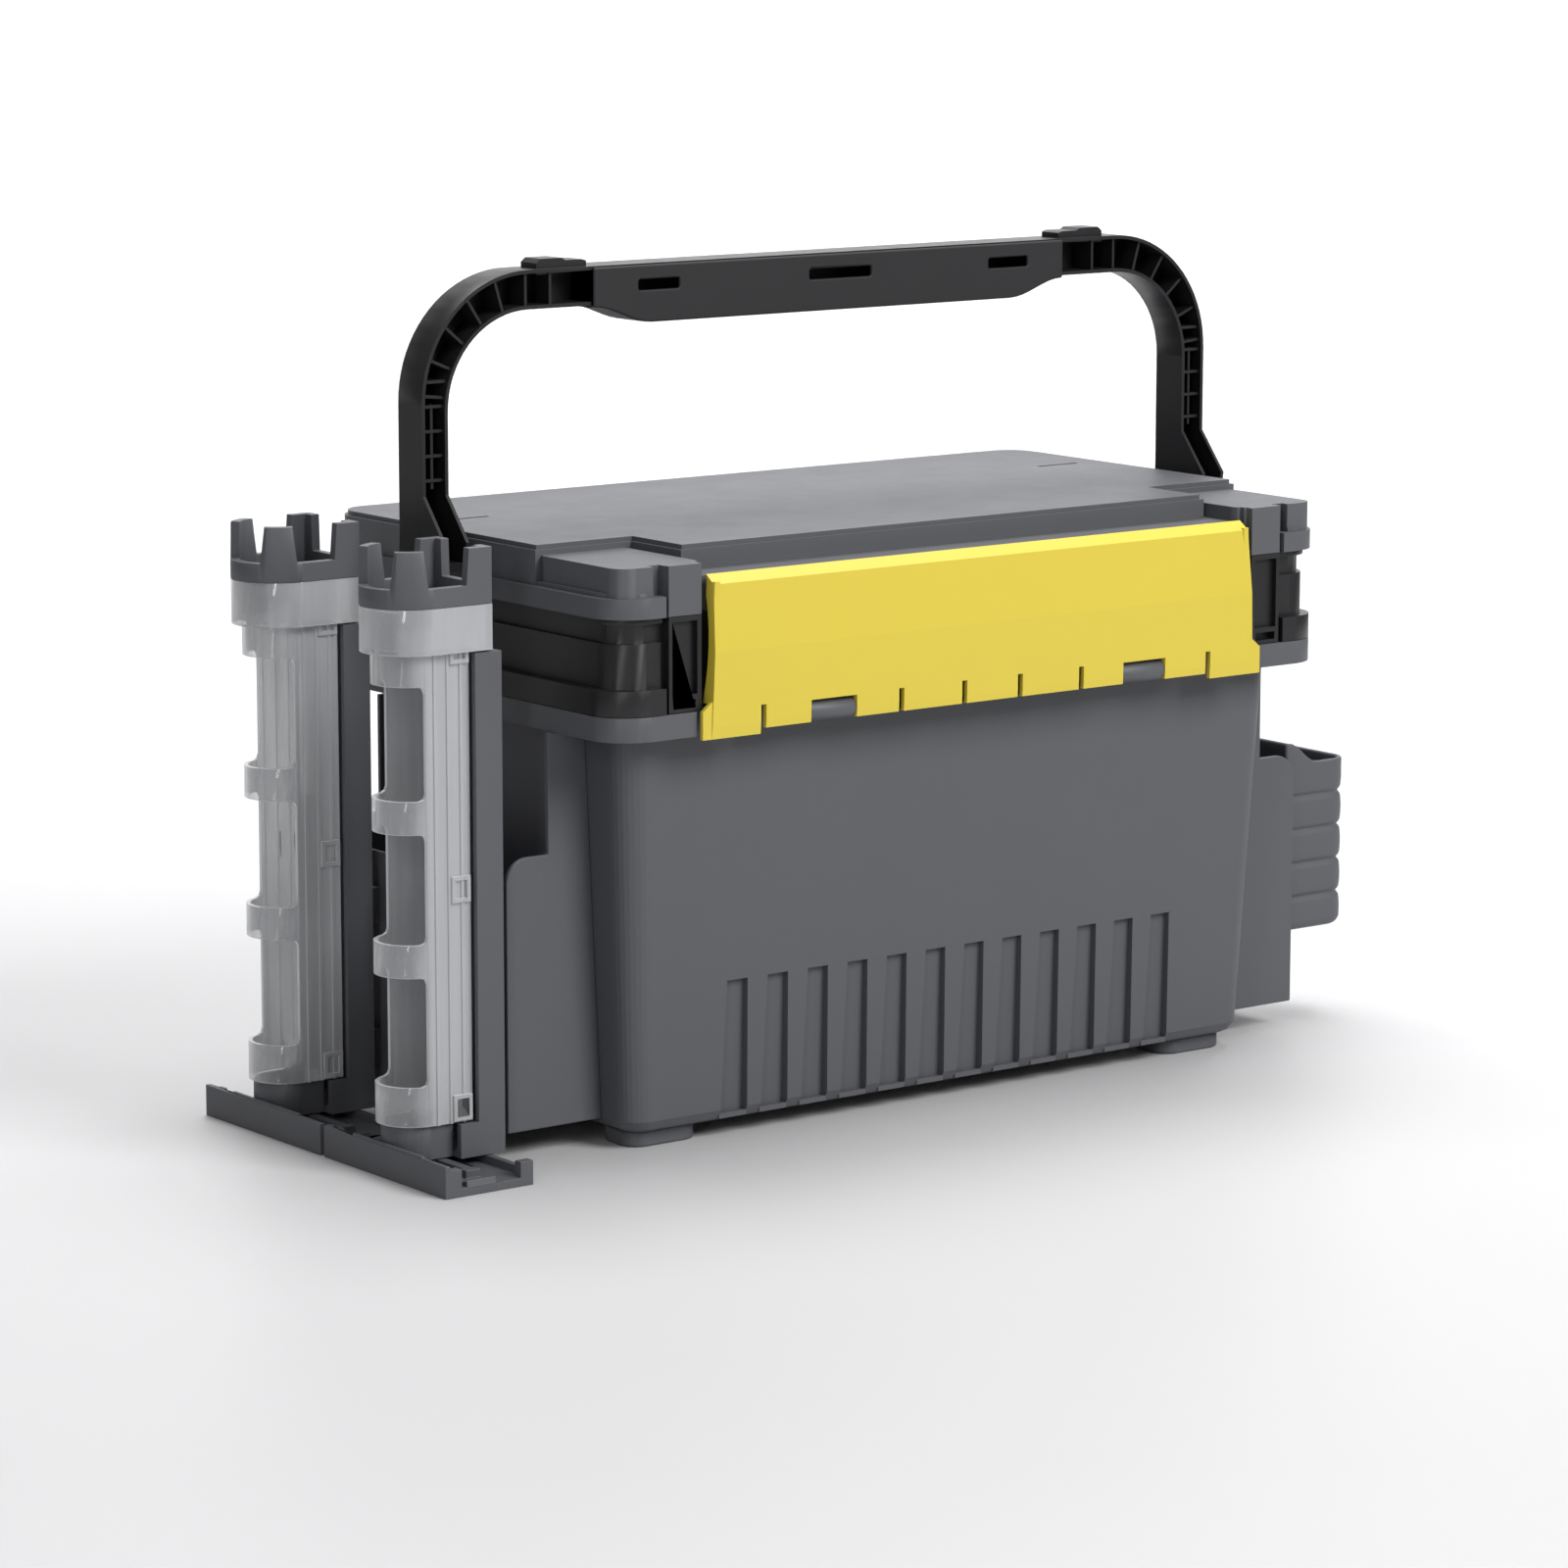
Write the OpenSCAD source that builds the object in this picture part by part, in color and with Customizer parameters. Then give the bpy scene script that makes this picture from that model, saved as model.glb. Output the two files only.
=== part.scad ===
// Toolbox with a hinged tray frame, a lid, a wide front latch, an arch handle,
// two clear tool holders on a base rail and an open side cup.
// Millimetres, +Z up, front face towards -Y. The origin is on the floor, under the
// middle of the whole toolbox.

/* [Body] */
// Width of the rim, tray frame and lid
body_w = 434; // [360:1:521]
// Depth of the rim, tray frame and lid
body_d = 244; // [203:1:293]
// Height of the underside of the tub rim above the floor
tub_h = 199; // [165:1:239]
// Height of the tub rim
rim_h = 11.5; // [9:0.5:14]
// Overhang of the rim beyond the tub walls
rim_out = 17.5; // [15:0.5:21]
// How far each tub wall leans in from the rim to the floor
draft = 9; // [6:0.5:11]
// Wall thickness of the grey mouldings
wall = 2.6; // [2:0.1:3.5]
// Outer corner radius of the rim, tray frame and lid
corner_r = 20; // [16:1:24]
// Height of the feet
foot_h = 8; // [6:0.5:10]

/* [Flutes] */
// Number of grooves in the tub front
flute_n = 12; // [8:1:14]
// Distance between grooves
flute_pitch = 23.8; // [20:0.2:24]
// Width of a groove
flute_w = 12; // [10:0.5:14]
// Depth of a groove at its top
flute_depth = 3.4; // [2.8:0.1:4.1]
// Height of the groove tops above the floor
flute_top = 76.5; // [64:0.5:92]

/* [Tray frame] */
// Height of the black tray frame
frame_h = 44.4; // [37:0.1:53.3]
// Thickness of the tray floor
tray_floor = 3; // [2:0.5:4]
// Number of dividers in the right part of the tray
divider_n = 3; // [1:1:4]

/* [Lid] */
// Height of the lid
lid_h = 28; // [25:0.5:33.6]
// Height of the skirt round the lower edge of the lid
skirt_h = 9.5; // [8:0.5:11]

/* [Latch] */
// Distance from each side of the body to the end of the latch plate
latch_side = 51.5; // [43:0.5:62]
// Height of the latch plate
latch_h = 75.5; // [63:0.5:80]
// Thickness of the latch plate
latch_t = 3; // [2.4:0.1:3.6]
// Diameter of the latch hinge pins
latch_pin_d = 3; // [2.5:0.5:3.5]

/* [Handle] */
// Reach of the handle legs beyond the sides of the body
handle_reach = 23.5; // [22:0.5:28]
// Height of the handle top above the lid
handle_rise = 121.5; // [101:0.5:146]
// Thickness of a handle leg
leg_t = 14.5; // [12:0.5:15]
// Front to back depth of the handle
leg_d = 20; // [17:0.5:22]
// Diameter of the handle pivot pins
pivot_d = 8; // [7:0.5:9]

/* [Hinges] */
// Diameter of the rear hinge pins
hinge_pin_d = 3; // [2.5:0.5:3.5]
// Outer radius of a hinge knuckle
knuckle_r = 5; // [4.5:0.1:5.5]

/* [Side carriers] */
// Reach of a side carrier beyond the side of the body
carrier_reach = 26.5; // [22:0.5:32]
// Front to back length of a side carrier
carrier_d = 144; // [126:1:150]
// Height of the carrier pocket rim above the floor
carrier_top = 132; // [110:1:145]

/* [Tool holders] */
// Radius of the rounded end of the clear collar
collar_r = 22; // [19:0.5:24]
// Height of the top of the clear sleeve above the floor
sleeve_top = 263.5; // [220:0.5:300]
// Distance between the two holders
holder_pitch = 110; // [92:1:120]

/* [Side cup] */
// Reach of the cup beyond its carrier
cup_out = 45; // [37:0.5:54]
// Front to back length of the cup
cup_d = 62; // [52:1:72]
// Height of the cup
cup_h = 88; // [73:1:106]

/* [Hidden] */
$fn = 64;

grey = "#5c5d61";
dark_grey = "#46474b";
black = "#262628";
yellow = "#f4dd4c";
clear = [0.8, 0.82, 0.84, 0.55];
steel = "#a9acb0";

// Gap between mouldings that close on each other
seam = 0.3;
// Gap between neighbouring solids of one body
snug = 0.15;
// Difference in diameter between a pin and its bore
pin_gap = 0.16;
// A sliver of height for the slabs that a tapered form is stretched between
sliver = 0.1;

// Levels above the floor
rim_top = tub_h + rim_h;
frame_z = rim_top + seam;
frame_top = frame_z + frame_h;
lid_z = frame_top + seam;
skirt_top = lid_z + skirt_h;
boss_top = lid_z + lid_h - 4.7;
lid_top = lid_z + lid_h;

// Plan of the body
front = -body_d / 2;
back = body_d / 2;
side = body_w / 2;
tub_w = body_w - 2 * rim_out;
tub_d = body_d - 2 * rim_out;
tub_r = 14;

// Latch: hinge axis, recess in the rim and knuckle places
latch_w = body_w - 2 * latch_side;
latch_axis = [front + 1.2, tub_h + 5.3];
latch_face = front - 4.2;
latch_recess_y = front + 10.6;
latch_tab = latch_w / 2 + 5;
latch_z = tub_h - 1.5;
latch_top = latch_z + latch_h;
latch_knuckle_x = latch_w / 2 - 70.5;
latch_knuckle_w = 26;
latch_barrel_w = 11;
latch_slots = [0.103, 0.333, 0.822];
// Half width of the front opening that the latch covers
opening = latch_w / 2 + 1.5;
// The grey blocks and black pillars beside the latch
pillar_in = opening + 1;
pillar_out = pillar_in + 18.5;

// Rear hinges
hinge_x = body_w / 2 - 97;
hinge_y = back + knuckle_r + 0.4;
frame_axis = frame_z + 2;
lid_axis = lid_z + 2;
knuckle_w = 14;
knuckle_gap = 0.4;

// Handle
pivot_y = 2.5;
pivot_z = lid_z + 9;
pivot_boss_r = 12;
handle_top = lid_top + handle_rise;
handle_half = side + handle_reach;
handle_y = -1;
arch_t = 18.5;
arch_r = 60;
grip_half = handle_half - 96.5;
grip_drop = 9.5;
channel_wall = 1.8;

// Side carriers
carrier_out = side + carrier_reach;
carrier_z = 13;
carrier_shoulder = 12;
carrier_neck = side + 3;
carrier_wall = 2.6;

// Tool holders: the back face of the channel stands clear of the left carrier
clip_t = 8.5;
channel_x = -carrier_out - clip_t;
channel_t = 14.5;
channel_z = 8;
channel_top = sleeve_top - 22;
holder_w = 2 * collar_r;
holder_y = -holder_pitch / 2 - holder_w / 2 - 6;
arc_x = channel_x - channel_t - 22.5;
sleeve_wall = 2;
band_r = collar_r - 4.8;
foot_r = collar_r - 7;
foot_top = 24.3;
base_block = 24.5;
crown_ring = 9;
crown_h = 26;

// Base rail under the holders
rail_lip = 2.8;
rail_x = arc_x - foot_r - rail_lip - 0.3;
rail_w = 48;
rail_h = 15;
rail_floor = 4;
rail_len = 102;
rail_gap = 3;
rail_y = -holder_pitch / 2 - 60;

// Side cup
cup_x = carrier_out + snug;
cup_z = 47.3;
cup_y = -carrier_d / 2 + 6;
cup_r = 12;
cup_wall = 2.4;

// Place of the middle of the body, so that the origin is under the middle of everything
left_reach = -(arc_x - collar_r);
right_reach = cup_x + cup_out;
front_reach = -latch_face;
rear_reach = hinge_y + knuckle_r;
body_place = [(left_reach - right_reach) / 2, (front_reach - rear_reach) / 2, 0];

// Front face of the tub wall at a height
function wall_y(z) = -(tub_d / 2 - draft * (rim_top - z) / (rim_top - foot_h));
// Side face of the tub wall at a height
function wall_x(z) = tub_w / 2 - draft * (rim_top - z) / (rim_top - foot_h);

module in_place() {
    translate(body_place) children();
}

module both_sides() {
    children();
    mirror([1, 0, 0]) children();
}

// A profile drawn as [y, z], extruded along X from x0
module along_x(x0, length) {
    translate([x0, 0, 0]) rotate([90, 0, 90]) linear_extrude(length) children();
}

// A profile drawn as [x, z], extruded towards +Y from y0
module along_y(y0, length) {
    translate([0, y0 + length, 0]) rotate([90, 0, 0]) linear_extrude(length) children();
}

// Box from its lowest corner to its highest corner
module block(low, high) {
    translate(low) cube(high - low);
}

// Round bar along X
module bar_x(x0, x1, y, z, r) {
    translate([x0, y, z]) rotate([0, 90, 0]) cylinder(h = x1 - x0, r = r);
}

// Flat slab with four round corners, centred in plan
module slab(w, d, r, h) {
    linear_extrude(h) {
        square([w - 2 * r, d], center = true);
        square([w, d - 2 * r], center = true);
        for (sx = [-1, 1], sy = [-1, 1])
            translate([sx * (w / 2 - r), sy * (d / 2 - r)]) circle(r);
    }
}

// Band of the body outline, set in from the outside, between two heights
module band(inset, z0, z1) {
    translate([0, 0, z0])
        slab(body_w - 2 * inset, body_d - 2 * inset, corner_r - inset, z1 - z0);
}

// Tapered form of the tub; grow moves its walls outwards
module tub_form(grow, z0) {
    hull() {
        translate([0, 0, z0])
            slab(tub_w - 2 * draft - 12 + 2 * grow, tub_d - 2 * draft - 12 + 2 * grow, tub_r - 6, sliver, $fn = 32);
        translate([0, 0, z0 + 1.8])
            slab(tub_w - 2 * draft - 4.4 + 2 * grow, tub_d - 2 * draft - 4.4 + 2 * grow, tub_r - 3, sliver, $fn = 32);
        translate([0, 0, z0 + 6])
            slab(tub_w - 2 * draft + 2 * grow, tub_d - 2 * draft + 2 * grow, tub_r - 2, sliver, $fn = 32);
        translate([0, 0, rim_top - 1])
            slab(tub_w + 2 * grow, tub_d + 2 * grow, tub_r, sliver, $fn = 32);
    }
}

// Grooves that widen towards the floor: their front outlines cut with one sloping depth profile
module flutes(extra_w, depth, z0, z1) {
    intersection() {
        along_x(-tub_w / 2, tub_w)
            polygon([[wall_y(z0) - 12, z0], [wall_y(z0) + depth + 1.2, z0],
                [wall_y(z1) + depth, z1], [wall_y(z1) - 12, z1]]);
        along_y(-tub_d / 2 - 10, 30)
            for (i = [0 : flute_n - 1])
                translate([(i - (flute_n - 1) / 2) * flute_pitch, 0])
                    polygon([[-flute_w / 2 - 2 - extra_w, z0], [flute_w / 2 + 2 + extra_w, z0],
                        [flute_w / 2 + extra_w, z1], [-flute_w / 2 - extra_w, z1]]);
    }
}

module tub_cavity() {
    difference() {
        translate([0, 0, 0.5]) tub_form(-wall, foot_h + wall);
        flutes(wall, flute_depth + wall, foot_h - 1, flute_top + wall);
    }
}

// Knuckles on the rim that carry the latch pins
module latch_knuckles() {
    both_sides() {
        bar_x(latch_knuckle_x - latch_knuckle_w / 2, latch_knuckle_x + latch_knuckle_w / 2,
            latch_axis[0], latch_axis[1], 4.9);
        block([latch_knuckle_x - latch_knuckle_w / 2, latch_axis[0], tub_h + 1],
            [latch_knuckle_x + latch_knuckle_w / 2, latch_recess_y + 1, rim_top - 1.5]);
    }
}

// Hinge knuckle with an arm between two levels, rooted that far inside the back face
module rear_knuckle(x, w, z, root, arm_low, arm_high) {
    bar_x(x - w / 2, x + w / 2, hinge_y, z, knuckle_r);
    block([x - w / 2, back - root, arm_low], [x + w / 2, hinge_y, arm_high]);
}

// The outer knuckles of the two hinges on one leaf
module outer_knuckles(z, root, arm_low, arm_high) {
    both_sides()
        for (s = [-1, 1])
            rear_knuckle(hinge_x + s * (knuckle_w + knuckle_gap), knuckle_w, z, root, arm_low, arm_high);
}

// The middle knuckles of the two hinges on the other leaf
module middle_knuckles(z, root, arm_low, arm_high) {
    both_sides() rear_knuckle(hinge_x, knuckle_w, z, root, arm_low, arm_high);
}

module hinge_bores(z) {
    both_sides()
        bar_x(hinge_x - 2 * knuckle_w, hinge_x + 2 * knuckle_w, hinge_y, z, hinge_pin_d / 2 + pin_gap / 2);
}

module hinge_pins(z) {
    both_sides()
        bar_x(hinge_x - 1.5 * knuckle_w - knuckle_gap, hinge_x + 1.5 * knuckle_w + knuckle_gap,
            hinge_y, z, hinge_pin_d / 2);
}

module tub() color(grey) in_place() {
    difference() {
        tub_form(0, foot_h);
        tub_cavity();
        flutes(0, flute_depth, foot_h - 1, flute_top);
    }
    flute_shelves();
}

// Low shelves that close the grooves just above the bottom edge
module flute_shelves() {
    z0 = foot_h + 4;
    for (i = [0 : flute_n - 1])
        block([(i - (flute_n - 1) / 2) * flute_pitch - flute_w / 2 - 2, wall_y(z0) + 1.2, z0 - 2.4],
            [(i - (flute_n - 1) / 2) * flute_pitch + flute_w / 2 + 2, wall_y(z0) + 4.2, z0]);
}

// Rim ring round the mouth of the tub, with the latch recess and the rear knuckles
module tub_rim() color(grey) in_place() {
    difference() {
        union() {
            band(0, rim_top - wall, rim_top);
            difference() {
                band(0, tub_h, rim_top - 1);
                band(wall, tub_h - 1, rim_top);
            }
            block([-latch_tab - wall, latch_recess_y, tub_h], [latch_tab + wall, latch_recess_y + wall, rim_top - 1]);
            outer_knuckles(frame_axis, 3, tub_h + 4, rim_top);
        }
        translate([0, 0, tub_h - 1]) slab(tub_w + 2 * snug, tub_d + 2 * snug, tub_r, rim_h + 2);
        block([-latch_tab - 1, front - 1, tub_h - 1], [latch_tab + 1, latch_recess_y, rim_top + 1]);
        hinge_bores(frame_axis);
    }
    difference() {
        latch_knuckles();
        both_sides()
            bar_x(latch_knuckle_x - latch_knuckle_w, latch_knuckle_x + latch_knuckle_w,
                latch_axis[0], latch_axis[1], (latch_pin_d + pin_gap) / 2);
    }
}

module feet() color(dark_grey) in_place() {
    for (sx = [-1, 1], sy = [-1, 1])
        translate([sx * (wall_x(foot_h) - 26), sy * (wall_y(foot_h) + 22), 0]) {
            slab(40, 28, 9, foot_h - snug);
            slab(36, 24, 7, 1.5);
        }
}

// Front outline of a carrier: a foot panel with a round shoulder and a neck up to the rim
module carrier_outline() {
    inner = wall_x(carrier_z) - 6;
    translate([inner, carrier_z]) square([carrier_out - inner, carrier_top - carrier_z - 2]);
    translate([inner, carrier_z])
        square([carrier_out - carrier_shoulder - inner, carrier_top - carrier_z + 10]);
    translate([carrier_out - carrier_shoulder, carrier_top - 2]) circle(carrier_shoulder);
    translate([inner, carrier_top]) square([carrier_neck - inner, tub_h - carrier_top - snug]);
}

module carrier() {
    difference() {
        union() {
            for (y = [-carrier_d / 2, carrier_d / 2 - carrier_wall])
                along_y(y, carrier_wall) carrier_outline();
            // Outer wall and floor of the pocket
            block([carrier_out - carrier_wall, -carrier_d / 2 + 1, carrier_z],
                [carrier_out, carrier_d / 2 - 1, carrier_top - 2]);
            block([wall_x(carrier_z) - 6, -carrier_d / 2 + 1, carrier_z],
                [carrier_out - 1, carrier_d / 2 - 1, carrier_z + carrier_wall]);
            // Back plate that lies on the tub wall
            block([wall_x(carrier_z) - 6, -carrier_d / 2 + 1, carrier_z],
                [wall_x(tub_h) + carrier_wall + 1, carrier_d / 2 - 1, tub_h - snug]);
            // Middle rib of the pocket
            block([wall_x(tub_h), -carrier_wall / 2, carrier_z],
                [carrier_out - 1, carrier_wall / 2, carrier_top - 12]);
        }
        tub_form(snug, foot_h);
    }
}

module left_carrier() color(grey) in_place() mirror([1, 0, 0]) carrier();

module right_carrier() color(grey) in_place() carrier();

// Section of the latch plate: a soft crease at mid height, a face that leans back and a sloping top lip
module latch_section() {
    crease = latch_z + latch_h * 0.53;
    polygon([[latch_face + 0.8, latch_z], [latch_face + 0.4, latch_z + 6], [latch_face, crease],
        [latch_face + 2.6, latch_top - 4.2], [latch_face + 8.5, latch_top], [latch_face + 8.5, latch_top - 2],
        [latch_face + 2.6 + latch_t, latch_top - 6], [latch_face + latch_t, crease],
        [latch_face + latch_t, latch_z]]);
}

module latch() color(yellow) in_place() {
    difference() {
        union() {
            intersection() {
                along_x(-latch_w / 2, latch_w) latch_section();
                along_y(latch_face - 5, 20)
                    polygon([[-latch_w / 2, latch_z], [latch_w / 2, latch_z], [latch_w / 2 - 2.6, latch_top],
                        [2.6 - latch_w / 2, latch_top]]);
            }
            // Low tabs that run out beside the plate
            both_sides()
                along_y(latch_face + 0.9, latch_t - 0.9)
                    polygon([[latch_w / 2 - 1, latch_z], [latch_tab, latch_z],
                        [latch_tab, latch_z + 13], [latch_w / 2 - 1, latch_z + 18]]);
            // Return flanges at the ends, hollowed in a long shallow curve
            both_sides() difference() {
                along_y(latch_face + latch_t - 1, 6.5)
                    polygon([[latch_w / 2 - 3.6, latch_z + 16], [latch_w / 2 - 0.6, latch_z + 16],
                        [latch_w / 2 - 2.7, latch_top - 3], [latch_w / 2 - 5.7, latch_top - 3]]);
                bar_x(latch_w / 2 - 7, latch_w / 2 + 2, latch_face + 8.5 + 92, latch_z + 42, 95);
            }
            // Barrels round the pins, on both sides of each rim knuckle
            both_sides() for (s = [-1, 1])
                translate([latch_knuckle_x + s * (latch_knuckle_w + latch_barrel_w + 1) / 2, 0, 0]) {
                    bar_x(-latch_barrel_w / 2, latch_barrel_w / 2, latch_axis[0], latch_axis[1], 4.1);
                    block([-latch_barrel_w / 2, latch_face + 2, latch_axis[1] - 3],
                        [latch_barrel_w / 2, latch_axis[0], latch_axis[1] + 3]);
                }
            // Stiffening ribs behind the plate
            for (i = [-5 : 5])
                block([i * latch_w / 12 - 0.8, latch_face + latch_t - 0.5, latch_z + 18],
                    [i * latch_w / 12 + 0.8, latch_face + latch_t + 2.2, latch_z + 42]);
        }
        both_sides() {
            block([latch_knuckle_x - latch_knuckle_w / 2 - 0.4, latch_face - 1, latch_z - 1],
                [latch_knuckle_x + latch_knuckle_w / 2 + 0.4, latch_recess_y, latch_z + 13]);
            for (s = latch_slots)
                block([s * latch_w / 2 - 1.5, latch_face - 1, latch_z - 1],
                    [s * latch_w / 2 + 1.5, latch_face + latch_t + 1, latch_z + 13.6]);

            bar_x(latch_knuckle_x - latch_knuckle_w, latch_knuckle_x + latch_knuckle_w,
                latch_axis[0], latch_axis[1], (latch_pin_d + pin_gap) / 2);
        }
        // The lower edge is a little higher between the outer slots
        block([-latch_slots[2] * latch_w / 2, latch_face - 1, latch_z - 1],
            [latch_slots[2] * latch_w / 2, latch_face + latch_t + 1, latch_z + 2.6]);
    }
}

module latch_pins() color(steel) in_place() both_sides()
    bar_x(latch_knuckle_x - latch_knuckle_w / 2 - latch_barrel_w, latch_knuckle_x + latch_knuckle_w / 2 + latch_barrel_w,
        latch_axis[0], latch_axis[1], latch_pin_d / 2);

// Plan of the hollow in the tray frame
tray_w = body_w - 22;
tray_front = front + 11.4;
tray_back = back - 8.5;
tray_y = (tray_front + tray_back) / 2;
tray_d = tray_back - tray_front;
tray_z = frame_z + tray_floor;

module tray_frame() color(black) in_place() {
    difference() {
        union() {
            difference() {
                union() {
                    band(0, frame_z, frame_z + 12);
                    band(6.5, frame_z, frame_top);
                    band(4.5, frame_z, frame_z + 0.74 * frame_h);
                    band(3.5, frame_top - 2.6, frame_top);
                }
                block([-pillar_out - 2, front - 1, frame_z - 1], [pillar_out + 2, front + 5.6, frame_top + 1]);
            }
            // Pillars beside the latch
            both_sides()
                block([pillar_in, front + 1, frame_z], [pillar_out, front + 8, frame_top]);
        }
        block([-opening, front - 1, frame_z - 1], [opening, front + 8.4, frame_top + 1]);
        translate([0, tray_y, tray_z]) slab(tray_w, tray_d, 12, frame_h);
        // Recessed panel and slot in each pillar
        both_sides() {
            block([pillar_in + 2.4, front, frame_z + 8], [pillar_out - 2, front + 4, frame_top - 2.4]);
            block([pillar_in + 3.5, front, frame_z + 1.8], [pillar_out - 2.5, front + 5.5, frame_z + 5.6]);
        }
        // Rear notches for the tub knuckles
        both_sides() for (s = [-1, 1])
            bar_x(hinge_x + s * (knuckle_w + knuckle_gap) - knuckle_w / 2 - knuckle_gap,
                hinge_x + s * (knuckle_w + knuckle_gap) + knuckle_w / 2 + knuckle_gap,
                hinge_y, frame_axis, knuckle_r + 0.6);
        hinge_bores(lid_axis);
        hinge_bores(frame_axis);
    }
    difference() {
        union() {
            middle_knuckles(frame_axis, 3, frame_axis, frame_z + 10);
            outer_knuckles(lid_axis, 8, frame_top - 8, frame_top);
        }
        hinge_bores(lid_axis);
        hinge_bores(frame_axis);
    }
}

module frame_hinge_pins() color(steel) in_place() hinge_pins(frame_axis);

// Organiser tray: the left part of the frame, with a grid of cells
organiser_w = tray_w * 0.6;
organiser_h = frame_h - 8;

module organiser_tray() color("#3a3b3f") in_place() {
    cells = [3, 2];
    pitch = [(organiser_w - 2) / cells[0], (tray_d - 4) / cells[1]];
    translate([-tray_w / 2 + organiser_w / 2 + 1, tray_y, tray_z + snug])
        difference() {
            slab(organiser_w, tray_d - 2, 11, organiser_h);
            for (i = [0 : cells[0] - 1], j = [0 : cells[1] - 1])
                translate([(i - (cells[0] - 1) / 2) * pitch[0], (j - (cells[1] - 1) / 2) * pitch[1], 1.8])
                    slab(pitch[0] - 2, pitch[1] - 2, 2.5, organiser_h);
        }
}

module tray_dividers() color("#3a3b3f") in_place() {
    room_x0 = -tray_w / 2 + organiser_w + 2;
    room = tray_w / 2 - room_x0;
    for (i = [1 : divider_n])
        block([room_x0 + i * room / (divider_n + 1) - 0.8, tray_front + 1, tray_z + snug],
            [room_x0 + i * room / (divider_n + 1) + 0.8, tray_back - 1, tray_z + organiser_h]);
}

// Raised top of the lid: full width behind, narrower in front of the corner bosses
notch_y = front + 67;
notch_x = side - 57;
crest_y = front + 28;

module lid_crest(inset, z0, z1) {
    w = side - 2.5 - inset;
    translate([0, 0, z0]) linear_extrude(z1 - z0) {
        translate([-w, notch_y + inset]) square([2 * w, back - corner_r - notch_y - inset]);
        translate([-side + corner_r, notch_y + inset])
            square([2 * (side - corner_r), back - 2.5 - notch_y - 2 * inset]);
        for (sx = [-1, 1])
            translate([sx * (side - corner_r), back - corner_r]) circle(corner_r - 2.5 - inset);
        translate([inset - notch_x, crest_y + inset])
            square([2 * (notch_x - inset), notch_y + 20 - crest_y]);
    }
}

module lid() color(grey) in_place() {
    difference() {
        union() {
            difference() {
                union() {
                    band(0, lid_z, skirt_top);
                    band(3, lid_z, skirt_top + 2);
                }
                block([-pillar_out - 2, front - 1, lid_z - 1], [pillar_out + 2, front + 5.6, skirt_top + 3]);
            }
            // Corner bosses and the blocks beside the latch
            both_sides() {
                translate([side - 29, notch_y - 29.5, skirt_top - 1])
                    slab(48, 68, 9, boss_top - skirt_top + 1);
                block([pillar_out + 4, front + 4, skirt_top - 1], [side - 19, front + 40, boss_top - 1]);
                block([pillar_in, front + 1, lid_z], [pillar_out, notch_y, boss_top]);
            }
            block([-pillar_in - 1, front + 8.6, lid_z], [pillar_in + 1, notch_y, boss_top - 7]);
            lid_crest(0, lid_z, lid_top - 2.2);
            lid_crest(1.6, lid_top - 3, lid_top);
            // Round bosses that carry the handle
            both_sides() difference() {
                bar_x(side - 8, handle_half - leg_t - seam, pivot_y, pivot_z, pivot_boss_r);
                block([side - 9, -side, lid_z - pivot_boss_r], [handle_half, side, lid_z]);
            }
            middle_knuckles(lid_axis, 3, lid_axis + 1.5, lid_axis + 5);
        }
        // Hollow underside
        translate([0, tray_y, lid_z - 1]) slab(tray_w + 4, tray_d + 2, 12, skirt_h - 1.4);
        block([-notch_x + 4, crest_y + 4, lid_z], [notch_x - 4, back - 6, lid_top - wall]);
        block([-side + 8, notch_y + 4, lid_z], [side - 8, back - 14, lid_top - wall]);
        block([-opening, front - 1, lid_z - 1], [opening, front + 8.4, lid_top]);
        both_sides()
            bar_x(side - 9, handle_half + 5, pivot_y, pivot_z, (pivot_d + pin_gap) / 2);
        // Upright recess between each corner boss and the block beside the latch
        both_sides()
            block([pillar_out + 0.4, front - 1, skirt_top], [pillar_out + 7, front + 8, boss_top + 1]);
        // Narrow slots beside the handle feet
        both_sides()
            block([side - 46, 46, lid_top - 1.2], [side - 20, 49, lid_top + 1]);
        // Room for the frame knuckles
        both_sides() for (s = [-1, 1])
            bar_x(hinge_x + s * (knuckle_w + knuckle_gap) - knuckle_w / 2 - knuckle_gap,
                hinge_x + s * (knuckle_w + knuckle_gap) + knuckle_w / 2 + knuckle_gap,
                hinge_y, lid_axis, knuckle_r + 0.6);
        hinge_bores(lid_axis);
    }
}

module lid_hinge_pins() color(steel) in_place() hinge_pins(lid_axis);

// Outline of the arch as [x, z], cut off at the foot; inset shrinks it from every side
module arch_outline(inset, low) {
    outer = handle_half - inset;
    inner = handle_half - leg_t + inset;
    out_r = arch_r - inset;
    in_r = arch_r - leg_t + inset;
    difference() {
        union() {
            translate([-outer, low]) square([2 * outer, handle_top - arch_r - low]);
            translate([-outer + out_r, low]) square([2 * outer - 2 * out_r, handle_top - inset - low]);
            for (s = [-1, 1])
                translate([s * (outer - out_r), handle_top - inset - out_r]) circle(out_r, $fn = 96);
        }
        translate([-inner, low - 1]) square([2 * inner, handle_top - arch_t + inset - in_r - low + 1]);
        translate([-inner + in_r, low - 1]) square([2 * inner - 2 * in_r, handle_top - arch_t + inset - low + 1]);
        for (s = [-1, 1])
            translate([s * (inner - in_r), handle_top - arch_t + inset - in_r]) circle(in_r, $fn = 96);
        translate([-handle_half - 1, low - 3 * arch_r]) square([2 * handle_half + 2, 3 * arch_r]);
    }
}

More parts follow.
